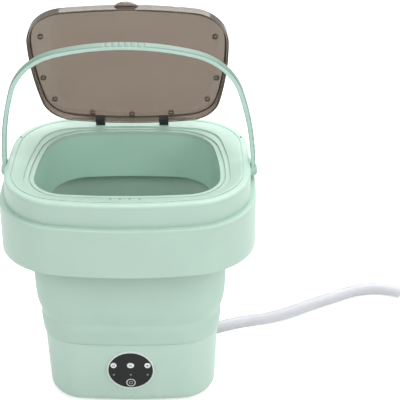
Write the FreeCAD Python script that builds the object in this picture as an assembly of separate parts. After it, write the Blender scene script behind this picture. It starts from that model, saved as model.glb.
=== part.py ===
import FreeCAD, Part
import math
import os
from FreeCAD import Vector

# A folding bucket washing machine, opened out, with its lid and carrying handle up.
# Millimetres. Z is up, the floor is Z = 0, the control panel faces -Y, X is to the right.

# Collar: the stiff band that carries lid and handle, seen from above
collar_width = 298.0
collar_depth = 247.5
collar_widest = -14.0
collar_front_round = 463.0
collar_rear_round = 390.0
collar_side_round = 800.0
collar_front_corner = 81.0
collar_rear_corner = 80.0

# Mouth: the opening of the tub inside the collar
rim_side = 42.0
rim_end = 41.75
mouth_width = collar_width - 2 * rim_side
mouth_depth = collar_depth - 2 * rim_end
mouth_middle = -0.7
mouth_widest = -34.0
mouth_front_round = 663.0
mouth_rear_round = 593.0
mouth_side_round = 371.0
mouth_front_corner = 41.0
mouth_rear_corner = 52.0

# Base: the housing under the tub
base_width_top = 210.0
base_width_bottom = 202.0
base_depth = 172.0
base_widest = -30.0
base_front_round = 684.0
base_rear_round = 630.0
base_side_round = 493.0
base_front_corner = 44.0
base_rear_corner = 51.0
base_bottom_round = 12.0

# Heights
foot_height = 2.0
base_height = 87.5
ring_top = 295.0
ring_height = 28.0
skirt_height = 60.6
sleeve_depth = 66.0

# Walls and small clearances
wall = 2.5
soft_wall = 2.5
deck = 3.0
seat_gap = 0.05
running_gap = 0.05
loose_gap = 0.5
clear_gap = 0.3

# Ring: the upper step of the collar and its sloping rim
ring_inset = 7.0
ring_edge_round = 4.0
skirt_edge_round = 2.5
shelf_width = 21.0
rim_groove_inset = 8.0
rim_groove_width = 1.2
rim_groove_depth = 0.9
band_inset = 11.0
band_drop = 3.0
seat_step = 2.0
gutter_width = 2.2
gutter_depth = 2.0
lip_width = 4.2
lip_height = 1.4
sleeve_wall = 2.2
sleeve_draft = 2.5
sleeve_flange = 8.0
notch_count = 4
notch_pitch = 10.8
notch_width = 3.6
notch_reach = 3.0
notch_depth = 2.0

# Folding bucket: height above its foot, share of the flare towards the mouth, and swell
bucket_flare = 11.1
bucket_flange = 6.0
bucket_foot = 12.0
bucket_folds = ((0.0, 0.0, 0.0), (13.0, 0.0, 1.2), (22.0, 0.0, 0.5), (34.0, 0.16, 0.0),
                (54.0, 0.43, 0.0), (77.0, 0.54, 0.0), (117.0, 0.66, 0.0))

# Lid and its two hinges
lid_over_side = 10.0
lid_over_end = 8.5
lid_front_round = 600.0
lid_rear_round = 560.0
lid_side_round = 400.0
lid_front_corner = 47.0
lid_rear_corner = 40.0
lid_gap = 1.6
lid_wall = 2.7
lid_skin = 2.6
lid_depth = 11.0
lid_edge_round = 4.0
lid_lift = 0.4
lid_open_angle = 70.5
tab_radius = 18.0
tab_reach = 6.0
tab_thick = 3.0
bumper_radius = 3.4
bumper_hole = 2.2
bumper_height = 2.2
bumper_shares = ((0.944, -0.528), (0.963, 0.265), (0.864, 0.691), (0.449, 0.972), (0.0, 1.002))
hinge_spread = 39.0
hinge_back = 4.0
hinge_rise = 2.0
hinge_width = 11.0
hinge_ear = 2.0
hinge_round = 2.6
hinge_pin_radius = 1.2
hinge_foot = 1.2
clip_reach = 6.0
clip_height = 7.0

# Handle: a bail on two side pins
handle_height = 176.0
handle_tilt = 12.5
handle_thick = 5.8
handle_width = 9.0
handle_edge = 1.5
handle_top_round = 290.0
handle_side_round = 400.0
handle_corner = 75.0
handle_side_gap = 0.9
pivot_y = 6.0
pivot_below_top = 18.0
pivot_eye = 7.5
pivot_eye_step = 0.2
pivot_boss = 7.0
pivot_pin_radius = 3.0
pivot_pin_depth = 14.0
pivot_head_radius = 6.0
pivot_head_thick = 1.4
grip_count = 7
grip_pitch = 7.0
grip_radius = 4.0
grip_depth = 0.8

# Tub floor, pulsator and drive
floor_drop = 12.7
floor_rim = 12.0
hub_radius = 16.0
hub_height = 4.0
hub_depth = 7.5
bush_radius = 7.0
bush_length = 9.0
seal_radius = 8.0
seal_height = 4.0
shaft_radius = 4.0
shaft_above_floor = 16.0
shaft_into_gearbox = 8.0
shaft_flat = 2.8
shaft_flat_length = 10.0
pulsator_radius = 62.0
pulsator_gap = 0.6
pulsator_skin = 3.0
pulsator_rim = 3.0
pulsator_hub = 13.0
vane_count = 5
vane_height = 13.0
vane_thick = 5.0
vane_start = 12.0
vane_end = 57.0
vane_bow = 46.0
cap_radius = 9.5
cap_height = 5.0
pulsator_screw_radius = 2.0
pulsator_screw_length = 8.0
pulsator_screw_head = 3.6
gearbox_radius = 26.0
gearbox_height = 26.0
gearbox_ear_reach = 34.0
gearbox_ear_radius = 6.0
gearbox_ear_thick = 4.0
gearbox_post_radius = 5.0
gearbox_post_length = 11.5
gearbox_bore_depth = 9.0
motor_radius = 17.5
motor_length = 34.0
motor_offset = 6.0
motor_edge = 2.0
terminal_length = 3.0
terminal_width = 4.0
terminal_thick = 0.8

# Drain: hose route on the floor and the fittings behind it
hose_outside = 16.0
hose_bore = 12.0
hose_route = ((100.0, 44.6, 22.0), (124.0, 55.5, 21.7), (147.0, 66.2, 19.3), (176.0, 81.0, 13.8),
              (207.0, 103.0, 9.5), (240.0, 125.5, 8.3), (270.0, 141.5, 8.3), (289.0, 152.5, 8.3),
              (308.0, 160.0, 8.3), (327.5, 162.0, 8.3), (346.0, 158.8, 8.3), (360.0, 153.0, 8.3))
drain_heading = 24.5
drain_back = 38.0
bend_share = 0.45
strainer_radius = 11.0
strainer_thick = 1.6
strainer_hole = 1.5
strainer_ring = 6.0
strainer_count = 8
elbow_outside = 13.0
elbow_bore = 9.0
elbow_bend = 14.0
elbow_top_drop = 3.0
socket_radius = 10.5
socket_depth = 11.0
spout_flange_radius = 10.5
spout_flange_thick = 3.0
spout_sleeve_radius = 8.2
spout_sleeve_length = 18.0
spout_socket_depth = 11.0
spout_bore = 8.0
spout_boss_radius = 11.5
barb_gap = 0.1
barb_step = 0.6
barb_length = 16.0
barb_rings = 3

# Control panel on the front wall
panel_width = 53.6
panel_height = 50.8
panel_centre_height = 52.2
panel_thick = 3.6
panel_proud = 1.0
bezel_width = 1.5
bezel_proud = 0.5
bezel_thick = 1.2
key_spread = 20.4
key_rise = 7.1
key_radius = 3.6
key_middle_stretch = 1.2
key_proud = 0.6
key_gap = 0.25
key_flange = 0.7
key_flange_thick = 1.0
key_travel = 0.8
lamp_drop = 6.6
lamp_radius = 1.3
power_drop = 18.0
power_radius = 4.3
power_ring_width = 1.1
power_ring_thick = 0.5
board_gap = 6.0
board_thick = 1.6
board_inset = 1.5
switch_size = 5.0
post_radius = 1.8
post_spread = 12.0
post_reach = 19.5

# Power inlet on the rear wall
inlet_x = -45.0
inlet_height = 26.0
inlet_flange_radius = 8.0
inlet_flange_thick = 1.5
inlet_body_radius = 5.8
inlet_length = 14.0
inlet_bore = 3.0
inlet_bore_depth = 10.0
inlet_pin_radius = 1.0

# Base plate, feet and screws
plate_inset = 20.0
plate_flange = 5.0
foot_radius = 8.0
foot_across = 60.0
foot_along = 44.0
screw_radius = 1.5
screw_head_radius = 2.8
screw_head_thick = 1.6
screw_gap = 0.15
screw_bite = 8.0
collar_boss_radius = 4.5
collar_boss_sink = 1.2
end_screw_angle = 4.5
side_screw_angle = 0.5

# Levels worked out from the sizes above
base_bottom = foot_height
base_top = foot_height + base_height
shelf_level = ring_top - ring_height
skirt_bottom = shelf_level - skirt_height
band_level = ring_top - band_drop
seat_level = band_level - seat_step
gutter_level = seat_level - gutter_depth
lip_level = gutter_level + lip_height
deck_under = gutter_level - deck
rim_level = base_top + soft_wall
floor_level = rim_level + wall - floor_drop
floor_under = floor_level - wall
hub_top = floor_level + hub_height
hub_bottom = floor_under - hub_depth
lid_rim = seat_level + lid_lift
lid_top = lid_rim + lid_depth
hinge_y = mouth_middle + mouth_depth / 2 + lid_over_end + hinge_back
hinge_z = ring_top + hinge_rise
pivot_z = ring_top - pivot_below_top
leg_inner = collar_width / 2 - ring_inset + handle_side_gap
leg_middle = leg_inner + pivot_eye_step + handle_thick / 2
leg_outer = leg_inner + handle_thick + 2 * pivot_eye_step
barb_radius = hose_bore / 2 - barb_gap
barb_neck = barb_radius - barb_step
front_wall = -base_depth / 2
panel_face = front_wall - panel_proud
panel_back = panel_face + panel_thick
board_face = panel_back + board_gap
gearbox_top = hub_bottom
gearbox_bottom = gearbox_top - gearbox_height
ear_top = floor_under - gearbox_post_length


def plan(width, depth, middle, widest, rounds, corners):
    """Sizes of a rounded outline: bowed front, rear and sides joined by corner arcs."""
    front_round, rear_round, side_round = rounds
    front_corner, rear_corner = corners
    return {"half_width": width / 2, "half_depth": depth / 2, "middle": middle, "widest": widest,
            "front_round": front_round, "rear_round": rear_round, "side_round": side_round,
            "front_corner": front_corner, "rear_corner": rear_corner}


def grown(shape, amount):
    """The same outline, moved outwards by an amount all round."""
    still = ("middle", "widest")
    return {key: value if key in still else value + amount for key, value in shape.items()}


def between(first, second, share):
    """An outline part of the way from one outline to another."""
    return {key: value + (second[key] - value) * share for key, value in first.items()}


collar = plan(collar_width, collar_depth, 0.0, collar_widest,
              (collar_front_round, collar_rear_round, collar_side_round),
              (collar_front_corner, collar_rear_corner))
mouth = plan(mouth_width, mouth_depth, mouth_middle, mouth_widest,
             (mouth_front_round, mouth_rear_round, mouth_side_round),
             (mouth_front_corner, mouth_rear_corner))
lid_plan = plan(mouth_width + 2 * lid_over_side, mouth_depth + 2 * lid_over_end, mouth_middle, mouth_widest,
                (lid_front_round, lid_rear_round, lid_side_round), (lid_front_corner, lid_rear_corner))
base_rounds = (base_front_round, base_rear_round, base_side_round)
base_corners = (base_front_corner, base_rear_corner)
base_upper = plan(base_width_top, base_depth, 0.0, base_widest, base_rounds, base_corners)
base_lower = plan(base_width_bottom, base_depth, 0.0, base_widest, base_rounds, base_corners)


def unit(vector):
    """A copy of a vector with length one."""
    copy = Vector(vector)
    copy.normalize()
    return copy


def mirrored(vector):
    """The point or direction on the other side of the YZ plane."""
    return Vector(-vector.x, vector.y, vector.z)


def arc(centre, radius, start, end):
    """Arc edge between two directions seen from its centre."""
    points = [centre + unit(way) * radius for way in (start, start + end, end)]
    return Part.Arc(*points).toShape()


def touching_centre(first, first_reach, second, second_reach):
    """Centre of the right-hand corner arc that touches an end arc and a side arc."""
    span = (second - first).Length
    line = unit(second - first)
    along = (first_reach ** 2 - second_reach ** 2 + span ** 2) / (2 * span)
    across = math.sqrt(first_reach ** 2 - along ** 2)
    foot = first + line * along
    side = Vector(line.y, -line.x, 0) * across
    return max(foot + side, foot - side, key=lambda point: point.x)


def centres(shape, height):
    """Centres of the front, rear, side and the two right-hand corner arcs."""
    front = Vector(0, shape["middle"] - shape["half_depth"] + shape["front_round"], height)
    rear = Vector(0, shape["middle"] + shape["half_depth"] - shape["rear_round"], height)
    side = Vector(shape["half_width"] - shape["side_round"], shape["widest"], height)
    corners = []
    for end, end_round, corner in ((front, "front_round", "front_corner"),
                                   (rear, "rear_round", "rear_corner")):
        reach = shape[end_round] - shape[corner]
        side_reach = shape["side_round"] - shape[corner]
        corners.append(touching_centre(end, reach, side, side_reach))
    return front, rear, side, corners[0], corners[1]


def outline(shape, height):
    """Closed wire of eight tangent arcs at a height."""
    front, rear, side, front_corner, rear_corner = centres(shape, height)
    ways = [front_corner - front, front_corner - side, rear_corner - side, rear_corner - rear]
    right = [(front_corner, shape["front_corner"], ways[0], ways[1]),
             (side, shape["side_round"], ways[1], ways[2]),
             (rear_corner, shape["rear_corner"], ways[2], ways[3])]
    edges = [arc(front, shape["front_round"], mirrored(ways[0]), ways[0])]
    edges += [arc(*values) for values in right]
    edges.append(arc(rear, shape["rear_round"], ways[3], mirrored(ways[3])))
    for centre, radius, start, end in reversed(right):
        edges.append(arc(mirrored(centre), radius, mirrored(end), mirrored(start)))
    return Part.Wire(edges)


def on_outline(shape, height, part, angle):
    """Point on the front, rear or right side arc, turned by an angle from its middle."""
    front, rear, side = centres(shape, height)[:3]
    turn = math.radians(angle)
    if part == "front":
        return front + Vector(math.sin(turn), -math.cos(turn), 0) * shape["front_round"]
    if part == "rear":
        return rear + Vector(math.sin(turn), math.cos(turn), 0) * shape["rear_round"]
    return side + Vector(math.cos(turn), math.sin(turn), 0) * shape["side_round"]


def slab(shape, low, high):
    """Solid between two heights with an outline as its edge."""
    return Part.Face(outline(shape, low)).extrude(Vector(0, 0, high - low))


def band(outer, inner, low, high):
    """Closed wall between two outlines."""
    return slab(outer, low, high).cut(slab(inner, low, high))


def taper(low_shape, low, high_shape, high):
    """Solid whose outline changes evenly from one height to another."""
    return Part.makeLoft([outline(low_shape, low), outline(high_shape, high)], True, True)


def rod(point, way, radius, length):
    """Round bar from a point along a direction."""
    return Part.makeCylinder(radius, length, point, way)


def upright(x, y, radius, low, high):
    """Round bar standing along Z."""
    return rod(Vector(x, y, low), Vector(0, 0, 1), radius, high - low)


def fused(shapes):
    """One solid from touching solids, with shared faces merged."""
    whole = shapes[0].fuse(list(shapes[1:]))
    return whole.removeSplitter()


def drilled(shape, tools):
    """A shape with a list of tools cut out of it."""
    return shape.cut(Part.makeCompound(list(tools)))


def level_edges(shape, wire, height):
    """Edges of a shape that lie on a wire at one height."""
    found = []
    for edge in shape.Edges:
        box = edge.BoundBox
        flat = abs(box.ZMin - height) < 1e-4 and abs(box.ZMax - height) < 1e-4
        middle = edge.valueAt((edge.FirstParameter + edge.LastParameter) / 2)
        if flat and wire.distToShape(Part.Vertex(middle))[0] < 1e-3:
            found.append(edge)
    return found


def rounded_level(shape, plan_shape, height, radius):
    """A shape with the edge along an outline rounded."""
    edges = level_edges(shape, outline(plan_shape, height), height)
    return shape.makeFillet(radius, edges)


def both_sides(shape):
    """A right-hand piece and its mirror image as one group."""
    return Part.makeCompound([shape, shape.mirror(Vector(0, 0, 0), Vector(1, 0, 0))])


def screw_at(point, way, length):
    """Pan-head screw: its head stands before the point and its shank runs along the way."""
    head = rod(point - way * screw_head_thick, way, screw_head_radius, screw_head_thick)
    outer = point.z - screw_head_thick / 2
    edge = [item for item in head.Edges if item.Closed and item.BoundBox.ZMin < outer]
    head = head.makeFillet(screw_head_thick / 3, edge) if edge else head
    return fused([head, rod(point, way, screw_radius, length)])


def screw_hole(point, way, length):
    """Clearance hole for a screw shank."""
    return rod(point, way, screw_radius + screw_gap, length)


def ring_points(shape, height):
    """Six points round an outline: two each on the front, rear and sides."""
    turns = (-end_screw_angle, end_screw_angle)
    points = [on_outline(shape, height, part, turn) for part in ("front", "rear") for turn in turns]
    side = on_outline(shape, height, "side", side_screw_angle)
    return points + [side, mirrored(side)]


UP = Vector(0, 0, 1)
RIGHT = Vector(1, 0, 0)
BACK = Vector(0, 1, 0)

ring_plan = grown(collar, -ring_inset)
ring_inside = grown(ring_plan, -wall)
seat_plan = grown(lid_plan, lid_gap)
lip_plan = grown(mouth, lip_width)
gutter_plan = grown(lip_plan, gutter_width)
bucket_top_plan = grown(mouth, bucket_flare)
boss_plan = grown(ring_inside, collar_boss_sink - collar_boss_radius)
clamp_plan = grown(bucket_top_plan, bucket_flange / 2)
tub_screw_plan = grown(base_upper, -soft_wall - floor_rim / 2)
plate_screw_plan = grown(base_lower, plate_flange / 2 - plate_inset)


def make_top_ring():
    """Upper step of the collar: rounded rim, sloping band, lid seat, gutter, lip and the tub's mouth."""
    ring = slab(ring_plan, shelf_level, ring_top)
    ring = rounded_level(ring, ring_plan, ring_top, ring_edge_round)
    groove_out = grown(ring_plan, -rim_groove_inset)
    groove_in = grown(groove_out, -rim_groove_width)
    band_out = grown(ring_plan, -band_inset)
    cuts = [slab(ring_inside, shelf_level, deck_under),
            band(groove_out, groove_in, ring_top - rim_groove_depth, ring_top),
            taper(seat_plan, band_level, band_out, ring_top),
            slab(seat_plan, seat_level, band_level),
            band(gutter_plan, lip_plan, gutter_level, seat_level),
            slab(lip_plan, lip_level, seat_level),
            slab(mouth, deck_under, lip_level)]
    for cut in cuts:
        ring = ring.cut(cut)
    pivot = Vector(leg_inner - clear_gap, pivot_y, pivot_z)
    bosses = [rod(pivot, -RIGHT, pivot_boss, pivot_pin_depth)]
    bosses.append(bosses[0].mirror(Vector(0, 0, 0), RIGHT))
    for point in ring_points(boss_plan, shelf_level):
        bosses.append(rod(point, UP, collar_boss_radius, deck_under - shelf_level))
    pad = Part.makeBox(hinge_width, 2 * hinge_round, hinge_foot_level() - seat_level,
                       Vector(hinge_spread - hinge_width / 2, hinge_y - hinge_round, seat_level))
    bosses += [pad, pad.mirror(Vector(0, 0, 0), RIGHT)]
    ring = fused([ring] + bosses)
    pocket = Part.makeBox(hinge_width + 2 * clear_gap, 2 * hinge_round + 2 * clear_gap, hinge_z,
                          Vector(hinge_spread - hinge_width / 2 - clear_gap,
                                 hinge_y - hinge_round - clear_gap, hinge_foot_level()))
    holes = [pocket, pocket.mirror(Vector(0, 0, 0), RIGHT)]
    for side in (1, -1):
        start = Vector(side * leg_inner, pivot_y, pivot_z)
        holes.append(rod(start, RIGHT * -side, pivot_pin_radius + seat_gap, pivot_pin_depth - wall))
    for point in ring_points(boss_plan, shelf_level):
        holes.append(screw_hole(point, UP, screw_bite + clear_gap))
    for point in ring_points(clamp_plan, deck_under):
        holes.append(screw_hole(point, UP, deck / 2))
    front = mouth_middle - mouth_depth / 2 - lid_over_end - lid_gap
    for index in range(notch_count):
        x = (index - (notch_count - 1) / 2) * notch_pitch
        low = Vector(x - notch_width / 2, front - notch_reach, seat_level - notch_depth)
        holes.append(Part.makeBox(notch_width, notch_reach + lid_gap, ring_top - low.z, low))
    return drilled(ring, holes)


def hinge_foot_level():
    """Height of the flat pads that carry the hinge blocks."""
    return hinge_z - hinge_round - hinge_foot


def make_collar_skirt():
    """Lower step of the collar: a deep open skirt with the shelf that the ring stands on."""
    skirt = slab(collar, skirt_bottom, shelf_level)
    skirt = rounded_level(skirt, collar, shelf_level, skirt_edge_round)
    skirt = skirt.cut(slab(grown(collar, -wall), skirt_bottom, shelf_level - wall))
    skirt = skirt.cut(slab(grown(collar, -shelf_width - wall), skirt_bottom, shelf_level))
    low = shelf_level - wall
    return drilled(skirt, [screw_hole(point, UP, wall) for point in ring_points(boss_plan, low)])


def make_collar_screws():
    """Six screws that hold the ring down on the skirt's shelf."""
    low = shelf_level - wall
    points = ring_points(boss_plan, low)
    return Part.makeCompound([screw_at(point, UP, wall + screw_bite) for point in points])


def make_inner_sleeve():
    """Stiff sleeve that lines the mouth, with a flange under the ring's deck."""
    bottom = ring_top - sleeve_depth
    narrow = grown(mouth, -sleeve_draft)
    outside = taper(grown(narrow, sleeve_wall), bottom, grown(mouth, sleeve_wall), deck_under)
    flange = slab(grown(mouth, sleeve_flange), deck_under - sleeve_wall, deck_under)
    return fused([outside, flange]).cut(taper(narrow, bottom, mouth, deck_under))


def bucket_sections(offset):
    """Outlines of the flexible wall from its foot to its clamped top edge."""
    wires = []
    for rise, share, swell in bucket_folds:
        shape = grown(between(base_upper, bucket_top_plan, share), swell + offset)
        wires.append(outline(shape, base_top + rise))
    wires.append(outline(grown(bucket_top_plan, offset), deck_under))
    return wires


def make_folding_bucket():
    """Flexible tub wall with one soft fold, a foot under the tub floor and a flange in the collar."""
    outside = Part.makeLoft(bucket_sections(0.0), True, True)
    inside = Part.makeLoft(bucket_sections(-soft_wall), True, True)
    foot = band(base_upper, grown(base_upper, -soft_wall - bucket_foot), base_top, base_top + soft_wall)
    flange = band(grown(bucket_top_plan, bucket_flange), grown(bucket_top_plan, -soft_wall / 2),
                  deck_under - soft_wall, deck_under)
    bucket = fused([outside.cut(inside), foot, flange])
    holes = [screw_hole(point, UP, soft_wall) for point in ring_points(tub_screw_plan, base_top)]
    low = deck_under - soft_wall
    holes += [screw_hole(point, UP, soft_wall) for point in ring_points(clamp_plan, low)]
    return drilled(bucket, holes)


def make_bucket_clamp():
    """Frame that holds the flexible wall's flange against the deck."""
    high = deck_under - soft_wall
    low = high - deck
    frame = band(grown(bucket_top_plan, bucket_flange), grown(bucket_top_plan, loose_gap), low, high)
    return drilled(frame, [screw_hole(point, UP, deck) for point in ring_points(clamp_plan, low)])


def make_clamp_screws():
    """Six screws through the clamp and the soft flange into the deck."""
    low = deck_under - soft_wall - deck
    length = deck + soft_wall + deck / 2 - clear_gap
    return Part.makeCompound([screw_at(point, UP, length) for point in ring_points(clamp_plan, low)])


def make_handle():
    """Arched bail: flat strip bent round large corners, pierced eyes and finger ribs on top."""
    top = Vector(0, 0, handle_height - handle_top_round)
    side = Vector(leg_middle - handle_side_round, 0, 0)
    span = (side - top).Length
    line = unit(side - top)
    reach = handle_top_round - handle_corner
    side_reach = handle_side_round - handle_corner
    along = (reach ** 2 - side_reach ** 2 + span ** 2) / (2 * span)
    across = math.sqrt(reach ** 2 - along ** 2)
    foot = top + line * along
    normal = Vector(line.z, 0, -line.x) * across
    corner = max(foot + normal, foot - normal, key=lambda point: point.x)
    ways = [RIGHT, corner - side, corner - top]
    right = [arc(side, handle_side_round, ways[0], ways[1]), arc(corner, handle_corner, ways[1], ways[2])]
    left = [arc(mirrored(corner), handle_corner, mirrored(ways[2]), mirrored(ways[1])),
            arc(mirrored(side), handle_side_round, mirrored(ways[1]), mirrored(ways[0]))]
    path = Part.Wire(right + [arc(top, handle_top_round, ways[2], mirrored(ways[2]))] + left)
    strip = Part.makeBox(handle_thick, handle_width, 1.0,
                         Vector(leg_inner + pivot_eye_step, -handle_width / 2, 0))
    strip = strip.makeFillet(handle_edge, [edge for edge in strip.Edges if abs(edge.tangentAt(0).z) > 0.9])
    section = min(strip.Faces, key=lambda face: face.CenterOfMass.z).OuterWire
    sweep = Part.BRepOffsetAPI.MakePipeShell(path)
    sweep.setBiNormalMode(BACK)
    sweep.add(section)
    sweep.build()
    sweep.makeSolid()
    bail = sweep.shape()
    eye = rod(Vector(leg_inner, 0, 0), RIGHT, pivot_eye, leg_outer - leg_inner)
    bail = fused([bail, eye, eye.mirror(Vector(0, 0, 0), RIGHT)])
    cuts = [rod(Vector(-leg_outer, 0, 0), RIGHT, pivot_pin_radius + running_gap, 2 * leg_outer)]
    crown = handle_top_round + handle_thick / 2 + grip_radius - grip_depth
    for index in range(grip_count):
        turn = (index - (grip_count - 1) / 2) * grip_pitch / handle_top_round
        point = top + Vector(math.sin(turn), 0, math.cos(turn)) * crown
        cuts.append(rod(point - BACK * handle_width, BACK, grip_radius, 2 * handle_width))
    bail = drilled(bail, cuts)
    bail.rotate(Vector(0, 0, 0), RIGHT, handle_tilt)
    bail.translate(Vector(0, pivot_y, pivot_z))
    return bail


def make_handle_pins():
    """Two headed pins that carry the handle in the ring's side bosses."""
    head_face = leg_outer + clear_gap
    length = head_face - (leg_inner - pivot_pin_depth + wall + clear_gap)
    start = Vector(head_face, pivot_y, pivot_z)
    head = rod(start, RIGHT, pivot_head_radius, pivot_head_thick)
    outer_edge = [edge for edge in head.Edges if edge.BoundBox.XMin > head_face + pivot_head_thick / 2]
    head = head.makeFillet(pivot_head_thick / 2, outer_edge)
    return both_sides(fused([head, rod(start, -RIGHT, pivot_pin_radius, length)]))


def opened(shape):
    """A lid piece swung up from the closed place to where the lid stands open."""
    shape.rotate(Vector(0, hinge_y, hinge_z), RIGHT, -lid_open_angle)
    return shape


def hinge_clip():
    """Right-hand block that passes through the lid's rear wall and grips its inside."""
    rear = hinge_y - hinge_back - lid_gap / 2
    front = hinge_y - hinge_back - clip_reach
    return Part.makeBox(hinge_width, rear - front, clip_height,
                        Vector(hinge_spread - hinge_width / 2, front, lid_rim))


def make_lid_panel():
    """Shallow see-through tray with a finger tab at its front edge and slots for the hinge clips."""
    tray = slab(lid_plan, lid_rim, lid_top)
    tray = rounded_level(tray, lid_plan, lid_top, lid_edge_round)
    tray = tray.cut(slab(grown(lid_plan, -lid_wall), lid_rim, lid_top - lid_skin))
    front = mouth_middle - lid_plan["half_depth"]
    low = lid_rim + 1.5 * lid_wall
    tab = upright(0, front - tab_reach + tab_radius, tab_radius, low, low + tab_thick)
    tab = tab.cut(slab(grown(lid_plan, -lid_wall / 2), low, low + tab_thick))
    keep = Part.makeBox(2 * tab_radius, 2 * tab_reach + lid_wall, tab_thick,
                        Vector(-tab_radius, front - 2 * tab_reach, low))
    return opened(fused([tray, tab.common(keep)]).cut(both_sides(hinge_clip())))


def make_lid_bumpers():
    """Nine small ring-shaped pads along the lid's edge, under its skin."""
    high = lid_top - lid_skin
    pads = []
    for across, along in bumper_shares:
        y = mouth_middle + along * mouth_depth / 2
        for x in {across * mouth_width / 2, -across * mouth_width / 2}:
            pad = upright(x, y, bumper_radius, high - bumper_height, high)
            pads.append(pad.cut(upright(x, y, bumper_hole, high - bumper_height, high)))
    return opened(Part.makeCompound(pads))


def make_hinge_arms():
    """Two dark knuckles whose clips go through the lid's rear wall."""
    width = hinge_width - 2 * hinge_ear - 2 * clear_gap
    left = hinge_spread - width / 2
    knuckle = rod(Vector(left, hinge_y, hinge_z), RIGHT, hinge_round, width)
    under = hinge_z - hinge_round
    tongue = Part.makeBox(width, hinge_back + lid_gap, lid_rim + clip_height - under,
                          Vector(left, hinge_y - hinge_back - lid_gap, under))
    arm = fused([knuckle, tongue, hinge_clip()])
    arm = arm.cut(rod(Vector(left, hinge_y, hinge_z), RIGHT, hinge_pin_radius + running_gap, width))
    return opened(both_sides(arm))


def make_hinge_blocks():
    """Two dark brackets with a pair of ears each, on the ring's rear band."""
    low = hinge_foot_level()
    left = hinge_spread - hinge_width / 2
    front = hinge_y - hinge_round
    pieces = [Part.makeBox(hinge_width, 2 * hinge_round, hinge_foot - clear_gap, Vector(left, front, low))]
    for x in (left, left + hinge_width - hinge_ear):
        pieces.append(rod(Vector(x, hinge_y, hinge_z), RIGHT, hinge_round, hinge_ear))
        pieces.append(Part.makeBox(hinge_ear, 2 * hinge_round, hinge_z - low, Vector(x, front, low)))
    hole = rod(Vector(left, hinge_y, hinge_z), RIGHT, hinge_pin_radius + seat_gap, hinge_width)
    return both_sides(fused(pieces).cut(hole))


def make_hinge_pins():
    """Two steel pins through the hinge ears."""
    start = Vector(hinge_spread - hinge_width / 2, hinge_y, hinge_z)
    return both_sides(rod(start, RIGHT, hinge_pin_radius, hinge_width))


def drain_way():
    """Direction of the drain's outlet, level, to the right and back."""
    turn = math.radians(drain_heading)
    return Vector(math.cos(turn), math.sin(turn), 0)


def drain_point(ahead):
    """Point on the drain's outlet axis, measured from the hose's first point."""
    return Vector(*hose_route[0]) + drain_way() * ahead


def make_base_shell():
    """Housing of the base: drafted side wall, rounded foot edge, panel cut-out and top flange."""
    outside = taper(base_lower, base_bottom, base_upper, base_top)
    outside = rounded_level(outside, base_lower, base_bottom, base_bottom_round)
    low, high = base_bottom + wall, base_top - wall
    hollow = taper(grown(base_lower, -wall), low, grown(base_upper, -wall), high)
    hollow = rounded_level(hollow, grown(base_lower, -wall), low, base_bottom_round - wall)
    shell = outside.cut(hollow)
    shell = shell.cut(slab(grown(base_upper, -soft_wall - bucket_foot), high, base_top))
    shell = shell.cut(slab(grown(base_lower, -plate_inset), base_bottom, low))
    boss = rod(drain_point(-spout_sleeve_length), drain_way(), spout_boss_radius,
               spout_sleeve_length - spout_flange_thick)
    shell = fused([shell, boss.cut(taper(grown(base_lower, -3 * wall), base_bottom,
                                         grown(base_upper, -3 * wall), base_top))])
    holes = [rod(drain_point(-2 * spout_sleeve_length), drain_way(), spout_sleeve_radius + clear_gap,
                 2 * spout_sleeve_length),
             rod(drain_point(-spout_flange_thick), drain_way(), spout_flange_radius + clear_gap,
                 spout_sleeve_length),
             panel_disc(panel_face - wall, 4 * wall + panel_proud, clear_gap),
             rod(Vector(inlet_x, base_depth / 2 + wall, inlet_height), -BACK,
                 inlet_body_radius + clear_gap, 4 * wall)]
    holes += [screw_hole(point, UP, wall) for point in ring_points(tub_screw_plan, high)]
    for point in ring_points(plate_screw_plan, base_bottom):
        holes.append(screw_hole(point, UP, wall))
        holes.append(rod(point, UP, screw_head_radius + clear_gap, screw_head_thick + clear_gap))
    return drilled(shell, holes)


def make_base_plate():
    """Bottom plate that drops into the shell, with a flange on the shell's rim."""
    low = base_bottom + wall
    disc = slab(grown(base_lower, -plate_inset - clear_gap), base_bottom, low + wall)
    flange = slab(grown(base_lower, -plate_inset + plate_flange), low, low + wall)
    plate = fused([disc, flange])
    return drilled(plate, [screw_hole(point, UP, wall) for point in ring_points(plate_screw_plan, low)])


def make_base_screws():
    """Six screws that hold the bottom plate, their heads sunk in the shell."""
    start = base_bottom + screw_head_thick + clear_gap
    points = ring_points(plate_screw_plan, start)
    return Part.makeCompound([screw_at(point, UP, 2 * wall - screw_head_thick) for point in points])


def make_rubber_feet():
    """Four round feet under the bottom plate."""
    places = [(x, y) for x in (-foot_across, foot_across) for y in (-foot_along, foot_along)]
    return Part.makeCompound([upright(x, y, foot_radius, 0.0, base_bottom) for x, y in places])


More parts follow.
